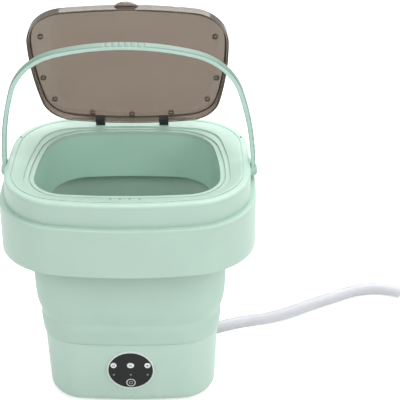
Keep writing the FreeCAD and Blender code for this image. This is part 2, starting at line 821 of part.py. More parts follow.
def make_tub_floor():
    """Dished floor of the tub with a drive hub, a drain socket and posts for the gearbox."""
    rim_plan = grown(base_upper, -soft_wall - loose_gap)
    dish_plan = grown(base_upper, -soft_wall - bucket_foot - loose_gap)
    top = rim_level + wall
    pieces = [slab(rim_plan, rim_level, top), slab(dish_plan, floor_under, rim_level)]
    floor = fused(pieces).cut(slab(grown(dish_plan, -wall), floor_level, top))
    drain = drain_point(-drain_back)
    posts = [upright(0, 0, hub_radius, hub_bottom, hub_top),
             upright(drain.x, drain.y, socket_radius, floor_under - socket_depth, floor_under)]
    posts += [upright(x, y, gearbox_post_radius, ear_top, floor_under) for x, y in ear_places()]
    floor = fused([floor] + posts)
    shaft_hole = upright(0, 0, shaft_radius + running_gap, hub_bottom, hub_top)
    bush_seat = upright(0, 0, bush_radius + seat_gap, hub_bottom, hub_bottom + bush_length)
    seal_seat = upright(0, 0, seal_radius + seat_gap, hub_top - seal_height, hub_top)
    drain_hole = upright(drain.x, drain.y, elbow_bore / 2, floor_under, floor_level)
    strainer_seat = upright(drain.x, drain.y, strainer_radius + clear_gap,
                            floor_level - strainer_thick, floor_level)
    socket = upright(drain.x, drain.y, elbow_outside / 2 + seat_gap, floor_under - socket_depth, floor_under)
    holes = [shaft_hole, bush_seat, seal_seat, drain_hole, strainer_seat, socket]
    holes += [screw_hole(Vector(x, y, ear_top), UP, screw_bite + clear_gap) for x, y in ear_places()]
    holes += [screw_hole(point, UP, wall / 2 + clear_gap) for point in ring_points(tub_screw_plan, rim_level)]
    return drilled(floor, holes)


def ear_places():
    """Centres of the four gearbox fixings."""
    half = gearbox_ear_reach / math.sqrt(2)
    return [(x * half, y * half) for x in (-1, 1) for y in (-1, 1)]


def make_tub_screws():
    """Six screws up through shell and soft foot into the tub floor's rim."""
    low = base_top - wall
    length = wall + soft_wall + wall / 2
    return Part.makeCompound([screw_at(point, UP, length) for point in ring_points(tub_screw_plan, low)])


def make_drain_strainer():
    """Perforated disc over the drain."""
    drain = drain_point(-drain_back)
    low = floor_level - strainer_thick
    disc = upright(drain.x, drain.y, strainer_radius, low, floor_level)
    holes = [upright(drain.x, drain.y, strainer_hole, low, floor_level)]
    for index in range(strainer_count):
        turn = 2 * math.pi * index / strainer_count
        x = drain.x + strainer_ring * math.cos(turn)
        y = drain.y + strainer_ring * math.sin(turn)
        holes.append(upright(x, y, strainer_hole, low, floor_level))
    return drilled(disc, holes)


def pipe(path, radius):
    """Round solid swept along a wire."""
    start = path.OrderedVertexes[0].Point
    first = path.OrderedEdges[0]
    way = first.tangentAt(first.FirstParameter)
    ring = Part.Wire(Part.makeCircle(radius, start, way))
    sweep = Part.BRepOffsetAPI.MakePipeShell(path)
    sweep.add(ring)
    sweep.build()
    sweep.makeSolid()
    return sweep.shape()


def make_drain_elbow():
    """Bent pipe from the floor's socket to the outlet."""
    outlet = drain_point(-drain_back)
    level = outlet.z
    top = Vector(outlet.x, outlet.y, floor_under - elbow_top_drop)
    bend_start = Vector(outlet.x, outlet.y, level + elbow_bend)
    bend_end = outlet + drain_way() * elbow_bend
    centre = bend_start + drain_way() * elbow_bend
    end = drain_point(-spout_sleeve_length - spout_flange_thick + spout_socket_depth - clear_gap)
    path = Part.Wire([Part.LineSegment(top, bend_start).toShape(),
                      arc(centre, elbow_bend, drain_way() * -1, Vector(0, 0, -1)),
                      Part.LineSegment(bend_end, end).toShape()])
    return pipe(path, elbow_outside / 2).cut(pipe(path, elbow_bore / 2))


def make_drain_spout():
    """Outlet fitting: inner socket, flange on the shell's boss and a ringed barb inside the hose."""
    way = drain_way()
    inner = drain_point(-spout_sleeve_length - spout_flange_thick)
    sleeve = rod(inner, way, spout_sleeve_radius, spout_sleeve_length)
    flange = rod(drain_point(-spout_flange_thick), way, spout_flange_radius, spout_flange_thick)
    pieces = [sleeve, flange, rod(drain_point(0), way, barb_neck, barb_length)]
    pitch = barb_length / barb_rings
    for index in range(barb_rings):
        pieces.append(Part.makeCone(barb_radius, barb_neck, pitch, drain_point(index * pitch), way))
    spout = fused(pieces)
    total = spout_sleeve_length + spout_flange_thick + barb_length
    spout = spout.cut(rod(inner, way, spout_bore / 2, total))
    return spout.cut(rod(inner, way, elbow_outside / 2 + seat_gap, spout_socket_depth))


def hose_path():
    """Straight runs joined by tangent arcs as large as the runs allow; prints each radius."""
    points = [Vector(*place) for place in hose_route]
    edges = []
    radii = []
    last = points[0]
    for before, point, after in zip(points, points[1:], points[2:]):
        way_in = unit(point - before)
        way_out = unit(after - point)
        turn = way_in.getAngle(way_out)
        reach = bend_share * min((point - before).Length, (after - point).Length)
        radius = reach / math.tan(turn / 2)
        start = point - way_in * reach
        end = point + way_out * reach
        centre = start + unit(way_out - way_in * way_out.dot(way_in)) * radius
        edges.append(Part.LineSegment(last, start).toShape())
        edges.append(arc(centre, radius, start - centre, end - centre))
        radii.append(round(radius, 1))
        last = end
    edges.append(Part.LineSegment(last, points[-1]).toShape())
    print("hose bend radii", radii)
    return Part.Wire(edges)


def make_drain_hose():
    """Soft hose lying on the floor; its volume is compared with section times length."""
    path = hose_path()
    hose = pipe(path, hose_outside / 2).cut(pipe(path, hose_bore / 2))
    expected = math.pi / 4 * (hose_outside ** 2 - hose_bore ** 2) * path.Length
    print("hose length", round(path.Length, 1), "volume share", round(hose.Volume / expected, 4))
    return hose


def make_shaft_bush():
    """Plain bearing in the tub floor's hub."""
    low = hub_bottom + clear_gap
    ring = upright(0, 0, bush_radius, low, hub_bottom + bush_length)
    return ring.cut(upright(0, 0, shaft_radius + running_gap, low, hub_bottom + bush_length))


def make_shaft_seal():
    """Lip seal round the shaft, flush with the top of the hub."""
    low = hub_top - seal_height
    ring = upright(0, 0, seal_radius, low, hub_top)
    return ring.cut(upright(0, 0, shaft_radius + running_gap, low, hub_top))


def shaft_profile(radius, flat, low, high):
    """Round bar with one flat side."""
    bar = upright(0, 0, radius, low, high)
    return bar.cut(Part.makeBox(radius, 2 * radius, high - low, Vector(flat, -radius, low)))


def make_drive_shaft():
    """Output shaft of the gearbox, flattened at the top for the pulsator."""
    low = gearbox_top - shaft_into_gearbox
    high = floor_level + shaft_above_floor
    flat_low = high - shaft_flat_length
    shaft = fused([upright(0, 0, shaft_radius, low, flat_low),
                   shaft_profile(shaft_radius, shaft_flat, flat_low, high)])
    return shaft.cut(upright(0, 0, pulsator_screw_radius + seat_gap, high - pulsator_screw_length, high))


def pulsator_levels():
    """Underside, deck, hub top and vane top of the pulsator."""
    under = hub_top + pulsator_gap
    top = under + pulsator_skin
    hub = floor_level + shaft_above_floor + clear_gap
    return under, top, hub, top + vane_height


def make_pulsator():
    """Washing disc: dished body, turned-down rim and five curved vanes that fall away outwards."""
    under, top, hub, crest = pulsator_levels()
    rim = under - pulsator_rim
    inner_rim = pulsator_radius - pulsator_skin
    corners = [(0, under), (inner_rim, under), (inner_rim, rim), (pulsator_radius, rim),
               (pulsator_radius, top - pulsator_skin / 2), (pulsator_radius - pulsator_skin / 2, top),
               (pulsator_hub, top), (pulsator_hub - 1.5, hub), (0, hub)]
    points = [Vector(radius, 0, height) for radius, height in corners]
    body = Part.Face(Part.makePolygon(points + points[:1])).revolve(Vector(0, 0, 0), UP, 360)
    limit = [Vector(0, 0, under), Vector(vane_end, 0, under), Vector(vane_end, 0, top + vane_height / 3),
             Vector(vane_start, 0, crest), Vector(0, 0, crest)]
    envelope = Part.Face(Part.makePolygon(limit + limit[:1])).revolve(Vector(0, 0, 0), UP, 360)
    ring = upright(0, vane_bow, vane_bow + vane_thick / 2, under, crest)
    ring = ring.cut(upright(0, vane_bow, vane_bow - vane_thick / 2, under, crest))
    half = Part.makeBox(2 * vane_bow, 2 * vane_bow, crest - under, Vector(0, -vane_bow, under))
    vane = ring.common(half).common(envelope)
    vane = max(vane.Solids, key=lambda solid: solid.Volume)
    vane = vane.cut(upright(0, 0, vane_start - 1.5, under, crest))
    vanes = []
    for index in range(vane_count):
        copy = vane.copy()
        copy.rotate(Vector(0, 0, 0), UP, 360.0 * index / vane_count)
        vanes.append(copy)
    disc = fused([body] + vanes)
    seat_high = floor_level + shaft_above_floor
    flat_low = seat_high - shaft_flat_length
    bore = fused([shaft_profile(shaft_radius + seat_gap, shaft_flat + seat_gap, flat_low, hub),
                  upright(0, 0, shaft_radius + seat_gap, under, flat_low)])
    return disc.cut(bore)


def make_pulsator_screw():
    """Screw that holds the pulsator down on the shaft."""
    hub = pulsator_levels()[2]
    shank = upright(0, 0, pulsator_screw_radius, hub - pulsator_screw_length + clear_gap, hub)
    washer = upright(0, 0, pulsator_screw_head + 2.0, hub, hub + 1.0)
    head = upright(0, 0, pulsator_screw_head, hub + 1.0, hub + 3.0)
    return fused([shank, washer, head])


def make_pulsator_cap():
    """Domed cap over the screw."""
    hub = pulsator_levels()[2]
    height = cap_height
    sphere = (cap_radius ** 2 + height ** 2) / (2 * height)
    dome = Part.makeSphere(sphere, Vector(0, 0, hub + height - sphere))
    dome = dome.common(upright(0, 0, cap_radius, hub, hub + height))
    return dome.cut(upright(0, 0, pulsator_screw_head + 2.0 + clear_gap, hub, hub + 3.0 + clear_gap))


def make_gearbox():
    """Round reduction housing with four fixing ears under the floor's posts."""
    pieces = [upright(0, 0, gearbox_radius, gearbox_bottom, gearbox_top - wall),
              upright(0, 0, hub_radius, gearbox_top - wall, gearbox_top)]
    low = ear_top - gearbox_ear_thick
    for x, y in ear_places():
        arm = Part.makeBox(gearbox_ear_reach, 2 * gearbox_ear_radius, gearbox_ear_thick,
                           Vector(0, -gearbox_ear_radius, low))
        arm.rotate(Vector(0, 0, 0), UP, math.degrees(math.atan2(y, x)))
        pieces += [arm, upright(x, y, gearbox_ear_radius, low, ear_top)]
    box = fused(pieces)
    holes = [upright(0, 0, shaft_radius + running_gap, gearbox_top - gearbox_bore_depth, gearbox_top)]
    holes += [screw_hole(Vector(x, y, low), UP, gearbox_ear_thick) for x, y in ear_places()]
    return drilled(box, holes)


def make_gearbox_screws():
    """Four screws from the gearbox ears into the floor's posts."""
    low = ear_top - gearbox_ear_thick
    length = gearbox_ear_thick + screw_bite
    return Part.makeCompound([screw_at(Vector(x, y, low), UP, length) for x, y in ear_places()])


def make_motor():
    """Small canned motor hung under the gearbox, with two solder tabs."""
    low = gearbox_bottom - motor_length
    can = upright(motor_offset, 0, motor_radius, low, gearbox_bottom)
    can = can.makeFillet(motor_edge, [edge for edge in can.Edges if edge.BoundBox.ZMax < low + motor_edge])
    tabs = []
    for side in (-1, 1):
        corner = Vector(motor_offset - terminal_width / 2, side * motor_radius / 2 - terminal_thick / 2,
                        low - terminal_length)
        tabs.append(Part.makeBox(terminal_width, terminal_thick, terminal_length, corner))
    return fused([can] + tabs)


def panel_disc(front, thick, grow):
    """Oval disc that faces the front."""
    centre = Vector(0, front, panel_centre_height)
    half_width = panel_width / 2 + grow
    half_height = panel_height / 2 + grow
    oval = Part.Ellipse(centre + RIGHT * half_width, centre + UP * half_height, centre)
    return Part.Face(Part.Wire(oval.toShape())).extrude(BACK * thick)


def key_places():
    """Name, centre and height-wise place of the four keys."""
    high = panel_centre_height + key_rise
    return {"left_key": (-key_spread, high), "middle_key": (0.0, high), "right_key": (key_spread, high),
            "power_key": (0.0, panel_centre_height - power_drop)}


def key_bar(name, grow, front, back):
    """Round or slightly stretched bar in the shape of one key's head."""
    x, height = key_places()[name]
    radius = (power_radius if name == "power_key" else key_radius) + grow
    start = Vector(x, front, height)
    if name != "middle_key":
        return rod(start, BACK, radius, back - front)
    wide = Part.Ellipse(start + RIGHT * (radius * key_middle_stretch), start + UP * radius, start)
    return Part.Face(Part.Wire(wide.toShape())).extrude(BACK * (back - front))


def make_key(name):
    """Push key: a head through the panel and a flange behind it."""
    proud = power_ring_thick if name == "power_key" else key_proud
    back = panel_back + clear_gap + key_flange_thick
    head = key_bar(name, 0.0, panel_face - proud, back)
    front_edge = [edge for edge in head.Edges if edge.BoundBox.YMax < panel_face - proud / 2]
    head = head.makeFillet(proud / 2, front_edge)
    return fused([head, key_bar(name, key_flange, panel_back + clear_gap, back)])


def lamp_places():
    """Centres of the three pilot lamps."""
    return [Vector(x, panel_face, panel_centre_height - lamp_drop) for x in (-key_spread, 0.0, key_spread)]


def post_places():
    """Centres of the four posts between panel and board."""
    return [(x, panel_centre_height + z) for x in (-post_spread, post_spread)
            for z in (-post_reach, post_reach)]


def make_control_panel():
    """Dark oval front plate with holes for keys and lamps and posts for the board."""
    plate = panel_disc(panel_face, panel_thick, 0.0)
    posts = [rod(Vector(x, panel_back, z), BACK, post_radius, board_gap) for x, z in post_places()]
    plate = fused([plate] + posts)
    holes = [key_bar(name, key_gap, panel_face, panel_back) for name in key_places()]
    holes += [rod(place, BACK, lamp_radius + seat_gap, panel_thick) for place in lamp_places()]
    return drilled(plate, holes)


def make_panel_bezel():
    """Thin pale ring round the panel."""
    front = panel_face - bezel_proud
    thick = bezel_thick + bezel_proud
    ring = panel_disc(front, thick, bezel_width + clear_gap).cut(panel_disc(front, thick, seat_gap))
    outside = taper(base_lower, base_bottom, base_upper, base_top)
    return ring.cut(outside)


def make_power_ring():
    """Bright ring round the power key."""
    start = Vector(0, panel_face - power_ring_thick, panel_centre_height - power_drop)
    outer = rod(start, BACK, power_radius + key_gap + power_ring_width, power_ring_thick)
    return outer.cut(rod(start, BACK, power_radius + key_gap, power_ring_thick))


def make_indicator_lenses():
    """Three small clear lenses set in the panel."""
    return Part.makeCompound([rod(place - BACK * seat_gap, BACK, lamp_radius, panel_thick)
                              for place in lamp_places()])


def make_control_board():
    """Oval circuit board on the panel's posts."""
    return panel_disc(board_face, board_thick, -board_inset)


def make_key_switches():
    """Four small switches on the board, one behind each key."""
    front = panel_back + clear_gap + key_flange_thick + key_travel + clear_gap
    half = switch_size / 2
    return Part.makeCompound([Part.makeBox(switch_size, board_face - front, switch_size,
                                           Vector(x - half, front, z - half))
                              for x, z in key_places().values()])


def make_power_inlet():
    """Round low-voltage socket on the rear wall, with its centre pin."""
    face = base_depth / 2 + inlet_flange_thick
    start = Vector(inlet_x, face, inlet_height)
    flange = rod(start, -BACK, inlet_flange_radius, inlet_flange_thick + wall)
    flange = flange.cut(taper(base_lower, base_bottom, base_upper, base_top))
    body = rod(start, -BACK, inlet_body_radius, inlet_length)
    socket = fused([flange, body]).cut(rod(start, -BACK, inlet_bore, inlet_bore_depth))
    pin = rod(start - BACK * (inlet_bore_depth + wall), BACK, inlet_pin_radius, inlet_bore_depth)
    return fused([socket, pin])


nodes = {
    "base_shell": make_base_shell(), "base_plate": make_base_plate(), "base_screws": make_base_screws(),
    "rubber_feet": make_rubber_feet(), "tub_floor": make_tub_floor(), "tub_screws": make_tub_screws(),
    "folding_bucket": make_folding_bucket(), "drain_strainer": make_drain_strainer(),
    "drain_elbow": make_drain_elbow(), "drain_spout": make_drain_spout(), "drain_hose": make_drain_hose(),
    "shaft_bush": make_shaft_bush(), "shaft_seal": make_shaft_seal(), "drive_shaft": make_drive_shaft(),
    "pulsator": make_pulsator(), "pulsator_screw": make_pulsator_screw(), "pulsator_cap": make_pulsator_cap(),
    "gearbox": make_gearbox(), "gearbox_screws": make_gearbox_screws(), "motor": make_motor(),
    "control_panel": make_control_panel(), "panel_bezel": make_panel_bezel(), "power_ring": make_power_ring(),
    "indicator_lenses": make_indicator_lenses(), "control_board": make_control_board(),
    "key_switches": make_key_switches(), "power_inlet": make_power_inlet(),
    "collar_skirt": make_collar_skirt(), "top_ring": make_top_ring(), "collar_screws": make_collar_screws(),
    "inner_sleeve": make_inner_sleeve(), "bucket_clamp": make_bucket_clamp(),
    "clamp_screws": make_clamp_screws(), "handle": make_handle(), "handle_pins": make_handle_pins(),
    "lid_panel": make_lid_panel(), "lid_bumpers": make_lid_bumpers(), "hinge_arms": make_hinge_arms(),
    "hinge_blocks": make_hinge_blocks(), "hinge_pins": make_hinge_pins(),
}
nodes.update({name: make_key(name) for name in key_places()})

os.makedirs("parts", exist_ok=True)
for name, shape in nodes.items():
    shape.exportStep("parts/" + name + ".step")
    print(name, "solids", len(shape.Solids), "valid", shape.isValid(), "volume", round(shape.Volume, 1))
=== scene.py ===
import math

import bpy
from mathutils import Matrix, Vector


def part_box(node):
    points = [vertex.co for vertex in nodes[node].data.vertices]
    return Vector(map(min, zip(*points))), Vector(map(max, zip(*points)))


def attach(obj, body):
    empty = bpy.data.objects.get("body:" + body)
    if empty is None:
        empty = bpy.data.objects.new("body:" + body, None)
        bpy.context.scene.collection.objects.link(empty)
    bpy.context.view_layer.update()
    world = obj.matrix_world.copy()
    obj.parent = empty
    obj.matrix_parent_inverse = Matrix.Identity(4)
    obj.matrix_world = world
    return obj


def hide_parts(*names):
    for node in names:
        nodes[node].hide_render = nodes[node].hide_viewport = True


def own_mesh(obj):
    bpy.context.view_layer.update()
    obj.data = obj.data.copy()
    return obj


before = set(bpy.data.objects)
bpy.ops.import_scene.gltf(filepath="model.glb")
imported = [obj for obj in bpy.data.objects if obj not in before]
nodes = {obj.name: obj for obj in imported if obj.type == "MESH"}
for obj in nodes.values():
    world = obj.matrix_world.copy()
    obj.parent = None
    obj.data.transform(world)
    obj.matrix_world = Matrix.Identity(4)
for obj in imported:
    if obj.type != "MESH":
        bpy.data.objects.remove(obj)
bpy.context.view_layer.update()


# Base housing, skirt and ring
# Three injection-moulded shells of pale mint ABS with a fine spark-eroded texture, held by screws
# from below. The texture gives a soft, slightly milky highlight.
def linear(code):
    """Linear colour with alpha from an sRGB hex value."""
    parts = [int(code[index:index + 2], 16) / 255 for index in (0, 2, 4)]
    return [part / 12.92 if part <= 0.04045 else ((part + 0.055) / 1.055) ** 2.4
            for part in parts] + [1.0]


def add_node(tree, kind, inputs=None, **settings):
    """One shader node with its settings, constants and incoming links."""
    item = tree.nodes.new(kind)
    for name, value in settings.items():
        setattr(item, name, value)
    for name, value in (inputs or {}).items():
        if isinstance(value, bpy.types.NodeSocket):
            tree.links.new(value, item.inputs[name])
        else:
            item.inputs[name].default_value = value
    return item


def start_material(name):
    """A new material with its tree, its shader and the piece's own coordinates."""
    material = bpy.data.materials.new(name)
    material.use_nodes = True
    tree = material.node_tree
    place = add_node(tree, "ShaderNodeTexCoord").outputs["Object"]
    return material, tree, tree.nodes["Principled BSDF"], place


def moulded_plastic(name, dark, light, rough_low, rough_high, grain_mm, grain_depth_mm):
    """Moulded plastic: slow flow shading in the colour, uneven gloss and a fine eroded grain."""
    flow_mm = 45.0
    flow_detail = 3.0
    grain_detail = 2.0
    grain_strength = 0.35
    material, tree, shader, place = start_material(name)
    flow = add_node(tree, "ShaderNodeTexNoise",
                    {"Vector": place, "Scale": 1000 / flow_mm, "Detail": flow_detail}).outputs[0]
    # Inputs 6 and 7 and output 2 of a mix are its colours.
    tint = add_node(tree, "ShaderNodeMix", {0: flow, 6: linear(dark), 7: linear(light)},
                    data_type="RGBA")
    tree.links.new(tint.outputs[2], shader.inputs["Base Color"])
    gloss = add_node(tree, "ShaderNodeMapRange",
                     {"Value": flow, "To Min": rough_low, "To Max": rough_high})
    tree.links.new(gloss.outputs[0], shader.inputs["Roughness"])
    grain = add_node(tree, "ShaderNodeTexNoise",
                     {"Vector": place, "Scale": 1000 / grain_mm, "Detail": grain_detail})
    relief = add_node(tree, "ShaderNodeBump",
                      {"Height": grain.outputs[0], "Strength": grain_strength,
                       "Distance": grain_depth_mm / 1000})
    tree.links.new(relief.outputs[0], shader.inputs["Normal"])
    return material


def finish_node(material, *names):
    """Gives carried-over solids their material."""
    for name in names:
        nodes[name].data.materials.clear()
        nodes[name].data.materials.append(material)


# The eroded grain is drawn at about twice its real size so that it shows.
mint_abs = moulded_plastic("mint_abs_eroded", "b0cbbe", "b8d3c5", 0.36, 0.46, 0.9, 0.05)
finish_node(mint_abs, "collar_skirt", "top_ring")
# The base is the collar's plastic painted paler: painted light for its less lit lower front.
# Painted light: a paler copy of the collar's mint.
base_abs_painted_light = moulded_plastic("mint_abs_painted_light", "b7d2c5", "bfdacc", 0.36, 0.46, 0.9, 0.05)
finish_node(base_abs_painted_light, "base_shell")
# The sleeve inside the mouth is smoother; its colour is painted brighter and greener than the
# collar's: painted bounce light from inside the mouth.
# Painted light: a brighter, greener copy of the collar's mint.
sleeve_abs_painted_bounce = moulded_plastic("mint_abs_smooth_painted_bounce", "b2d6c5", "badece", 0.3, 0.4, 1.2, 0.03)
finish_node(sleeve_abs_painted_bounce, "inner_sleeve")

# Under-parts of the base and the hinges
# A dark bottom plate of polypropylene with rubber feet, the hidden gear housing and switches, the
# low-voltage socket and the lid's hinges. They are plain moulded parts with a dull skin. The
# hinges' near-black is partly painted shade, for the shade in the slots where they meet the collar.
dark_polypropylene_and_hinge_shade = moulded_plastic("dark_polypropylene_and_hinge_shade", "26272a", "303236",
                                     0.42, 0.55, 1.1, 0.06)
# Painted shade in part: the hinges are near-black also for the shade in their slots.
finish_node(dark_polypropylene_and_hinge_shade, "base_plate", "gearbox", "key_switches", "power_inlet",
            "hinge_arms", "hinge_blocks")
foot_rubber = moulded_plastic("nitrile_rubber", "151516", "1d1d1e", 0.7, 0.85, 0.8, 0.08)
finish_node(foot_rubber, "rubber_feet", "shaft_seal")

# Tub floor, pulsator and drain fittings
# White polypropylene mouldings with a smooth tool finish. Their skin is a little waxy.
white_polypropylene = moulded_plastic("white_polypropylene", "e2e8e5", "eef2f0",
                                      0.28, 0.38, 1.6, 0.03)
finish_node(white_polypropylene, "tub_floor", "pulsator", "pulsator_cap", "drain_strainer",
            "drain_elbow", "drain_spout", "bucket_clamp")

# Screws, shaft, motor can and pins
# Turned steel, bright, with fine lines round the bar. The lines are coarser than real ones so that
# they show.
drawn_steel, steel_tree, steel_shader, steel_place = start_material("drawn_steel")
steel_shader.inputs["Metallic"].default_value = 1.0
steel_shader.inputs["Base Color"].default_value = linear("b9bbbd")
draw_line_mm = 0.6
# The wave texture multiplies its scale by 20.
wave_turn = 20
draw_waver = 3.0
steel_lines = add_node(steel_tree, "ShaderNodeTexWave",
                       {"Vector": steel_place, "Scale": 1000 / draw_line_mm / wave_turn,
                        "Distortion": draw_waver}, bands_direction="Z")
steel_gloss = add_node(steel_tree, "ShaderNodeMapRange",
                       {"Value": steel_lines.outputs[1], "To Min": 0.22, "To Max": 0.4})
steel_tree.links.new(steel_gloss.outputs[0], steel_shader.inputs["Roughness"])
finish_node(drawn_steel, "base_screws", "tub_screws", "gearbox_screws", "motor", "drive_shaft",
            "pulsator_screw", "collar_screws", "clamp_screws", "hinge_pins")

# Shaft bearing
# Sintered bronze bush with an oily, grainy skin.
sintered_bronze, bronze_tree, bronze_shader, bronze_place = start_material("sintered_bronze")
bronze_shader.inputs["Metallic"].default_value = 1.0
sinter_grain_mm = 0.5
bronze_grain = add_node(bronze_tree, "ShaderNodeTexNoise",
                        {"Vector": bronze_place, "Scale": 1000 / sinter_grain_mm})
bronze_tint = add_node(bronze_tree, "ShaderNodeMix",
                       {0: bronze_grain.outputs[0], 6: linear("8a6a3c"), 7: linear("b08a52")},
                       data_type="RGBA")
bronze_tree.links.new(bronze_tint.outputs[2], bronze_shader.inputs["Base Color"])
bronze_shader.inputs["Roughness"].default_value = 0.45
finish_node(sintered_bronze, "shaft_bush")

# Circuit board
# Glass-fibre laminate under green solder mask, with a faint grain.
solder_mask = moulded_plastic("solder_mask", "124a2c", "18583a", 0.25, 0.35, 0.8, 0.03)
finish_node(solder_mask, "control_board")

# Control panel
# Charcoal acrylic front, back-painted and polished, in a thin satin bezel. White keys come through
# it, with a bright ring round the power key and three pilot lenses.
charcoal_acrylic = moulded_plastic("charcoal_acrylic", "0c0d0f", "121316", 0.08, 0.14, 2.0, 0.005)
panel_shader = charcoal_acrylic.node_tree.nodes["Principled BSDF"]
panel_shader.inputs["Specular IOR Level"].default_value = 0.3
finish_node(charcoal_acrylic, "control_panel", "power_key")
satin_trim = moulded_plastic("satin_trim_abs", "d3ddd9", "dde6e2", 0.25, 0.35, 0.8, 0.02)
finish_node(satin_trim, "panel_bezel")
key_white = moulded_plastic("white_key_abs", "e9edec", "f4f6f5", 0.25, 0.35, 0.8, 0.02)
finish_node(key_white, "left_key", "middle_key", "right_key")
smoked_lens = moulded_plastic("smoked_lens_acrylic", "74787b", "82868a", 0.12, 0.2, 0.8, 0.01)
finish_node(smoked_lens, "indicator_lenses")

power_chrome, chrome_tree, chrome_shader, chrome_place = start_material("plated_chrome")
chrome_shader.inputs["Metallic"].default_value = 1.0
chrome_shader.inputs["Base Color"].default_value = linear("b9bcbf")
polish_haze_mm = 1.5
chrome_haze = add_node(chrome_tree, "ShaderNodeTexNoise",
                       {"Vector": chrome_place, "Scale": 1000 / polish_haze_mm})
chrome_gloss = add_node(chrome_tree, "ShaderNodeMapRange",
                        {"Value": chrome_haze.outputs[0], "To Min": 0.12, "To Max": 0.24})
chrome_tree.links.new(chrome_gloss.outputs[0], chrome_shader.inputs["Roughness"])
finish_node(power_chrome, "power_ring")


# Key marks
# Plain pad-printed signs on the keys: a ring, two bars and a play triangle in dark ink, and a
# broken ring with a bar in grey on the power key.
def place_mark(obj, name, node, material):
    """Places a flat mark on the front of a key and lets it move with the key."""
    low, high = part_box(node)
    ink_height = 0.00004
    obj.name = name
    obj.location = ((low.x + high.x) / 2, low.y - ink_height, (low.z + high.z) / 2)
    obj.rotation_euler = (math.pi / 2, 0, 0)
    bpy.ops.object.transform_apply(location=True, rotation=True, scale=True)
    obj.data.materials.append(material)
    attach(obj, node + "_body")


dark_ink = moulded_plastic("dark_pad_ink", "2b2e30", "34383a", 0.45, 0.6, 0.5, 0.01)
grey_ink = moulded_plastic("grey_pad_ink", "a6aaad", "b3b7b9", 0.45, 0.6, 0.5, 0.01)
ink_thick = 0.00006

ring_mark_radius = 0.0013
ring_mark_line = 0.00028
bpy.ops.object.select_all(action="DESELECT")
bpy.ops.mesh.primitive_torus_add(major_radius=ring_mark_radius, minor_radius=ring_mark_line,
                                 major_segments=40, minor_segments=8)
ring_mark = bpy.context.object
bpy.ops.object.mode_set(mode="EDIT")
bpy.ops.transform.resize(value=(1, 1, ink_thick / ring_mark_line))
bpy.ops.object.mode_set(mode="OBJECT")
place_mark(ring_mark, "left_key_mark", "left_key", dark_ink)

bar_width = 0.0008
bar_height = 0.0026
bar_spread = 0.0009
bpy.ops.object.select_all(action="DESELECT")
bpy.ops.mesh.primitive_cube_add(size=1)
bar_mark = bpy.context.object
bpy.ops.object.mode_set(mode="EDIT")
bpy.ops.transform.resize(value=(bar_width, bar_height, ink_thick))
bpy.ops.transform.translate(value=(-bar_spread, 0, 0))
bpy.ops.mesh.duplicate_move(TRANSFORM_OT_translate={"value": (2 * bar_spread, 0, 0)})
bpy.ops.mesh.select_all(action="SELECT")
bpy.ops.mesh.bevel(offset=ink_thick / 3, segments=1)
bpy.ops.object.mode_set(mode="OBJECT")
place_mark(bar_mark, "middle_key_mark", "middle_key", dark_ink)

play_radius = 0.0017
bpy.ops.object.select_all(action="DESELECT")
bpy.ops.mesh.primitive_cylinder_add(vertices=3, radius=play_radius, depth=ink_thick)
play_mark = bpy.context.object
bpy.ops.object.mode_set(mode="EDIT")
bpy.ops.mesh.bevel(offset=ink_thick / 3, segments=2)
bpy.ops.transform.rotate(value=math.pi / 6, orient_axis="Z", center_override=(0, 0, 0))
bpy.ops.object.mode_set(mode="OBJECT")
place_mark(play_mark, "right_key_mark", "right_key", dark_ink)

power_mark_radius = 0.0021
power_mark_line = 0.00032
power_gap_turn = math.radians(25)
power_bar_length = 0.0019
bpy.ops.object.select_all(action="DESELECT")
bpy.ops.mesh.primitive_torus_add(major_radius=power_mark_radius, minor_radius=power_mark_line,
                                 major_segments=60, minor_segments=8)
power_mark = bpy.context.object
bpy.ops.object.mode_set(mode="EDIT")
bpy.ops.transform.resize(value=(1, 1, ink_thick / power_mark_line))
bpy.ops.mesh.select_all(action="DESELECT")
bpy.ops.object.mode_set(mode="OBJECT")
for vertex in power_mark.data.vertices:
    vertex.select = abs(math.atan2(vertex.co.x, vertex.co.y)) < power_gap_turn
bpy.ops.object.mode_set(mode="EDIT")
bpy.ops.mesh.delete(type="VERT")
bpy.ops.mesh.select_all(action="SELECT")
bpy.ops.mesh.fill_holes(sides=0)
bpy.ops.mesh.primitive_cube_add(size=1, location=(0, power_mark_radius - power_bar_length / 4, 0),
                                scale=(2 * power_mark_line, power_bar_length, 2 * ink_thick))
bpy.ops.object.mode_set(mode="OBJECT")
place_mark(power_mark, "power_key_mark", "power_key", grey_ink)

# Drain hose
# Soft extruded vinyl hose pushed over the barb of the outlet, lying on the floor with its cut end
# open. The milky wall lets light through and scatters it.
hose_route = [(100.0, 44.6, 22.0), (124.0, 55.5, 21.7), (147.0, 66.2, 19.3), (176.0, 81.0, 13.8),
              (207.0, 103.0, 9.5), (240.0, 125.5, 8.3), (270.0, 141.5, 8.3), (289.0, 152.5, 8.3),
              (308.0, 160.0, 8.3), (327.5, 162.0, 8.3), (346.0, 158.8, 8.3), (360.0, 153.0, 8.3)]
hose_radius = 0.008
hose_wall = 0.002
merge_reach = 0.00001


def curve_mesh(obj):
    """The mesh that a curve object gives."""
    bpy.context.view_layer.update()
    depsgraph = bpy.context.evaluated_depsgraph_get()
    return bpy.data.meshes.new_from_object(obj.evaluated_get(depsgraph))


def close_seams():
    """Merges doubled points of the active piece and turns its faces outwards."""
    bpy.ops.object.mode_set(mode="EDIT")
    bpy.ops.mesh.select_all(action="SELECT")
    bpy.ops.mesh.remove_doubles(threshold=merge_reach)
    bpy.ops.mesh.normals_make_consistent(inside=False)
    bpy.ops.object.mode_set(mode="OBJECT")


